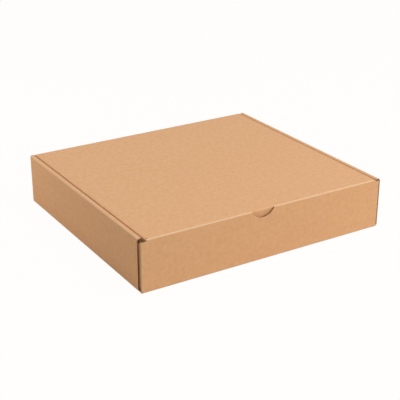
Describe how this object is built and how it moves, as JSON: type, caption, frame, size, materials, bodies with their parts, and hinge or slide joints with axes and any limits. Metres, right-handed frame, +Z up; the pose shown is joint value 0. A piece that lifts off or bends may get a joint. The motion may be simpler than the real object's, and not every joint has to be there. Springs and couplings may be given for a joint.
{
  "type": "corrugated mailer box",
  "caption": "Flat kraft corrugated mailer with rolled side walls, a thumb notch and a hinged lid that tucks inside the front wall.",
  "frame": {"origin": "middle of the underside, on the surface the box stands on", "axes": "+X to the right of the front wall, +Y from the front wall to the hinged back wall, +Z up"},
  "size_m": [0.3, 0.27, 0.0575],
  "materials": {
    "kraft_board": "matt kraft paper liner on thin fluted board"
  },
  "bodies": {
    "tray": {"tray": "kraft_board"},
    "lid": {"lid": "kraft_board"}
  },
  "joints": [
    {"name": "lid_hinge", "type": "hinge", "parent": "tray", "child": "lid", "pos_m": [0, 0.135, 0.0575], "axis": [-1, 0, 0], "range_deg": [0, 180]}
  ]
}
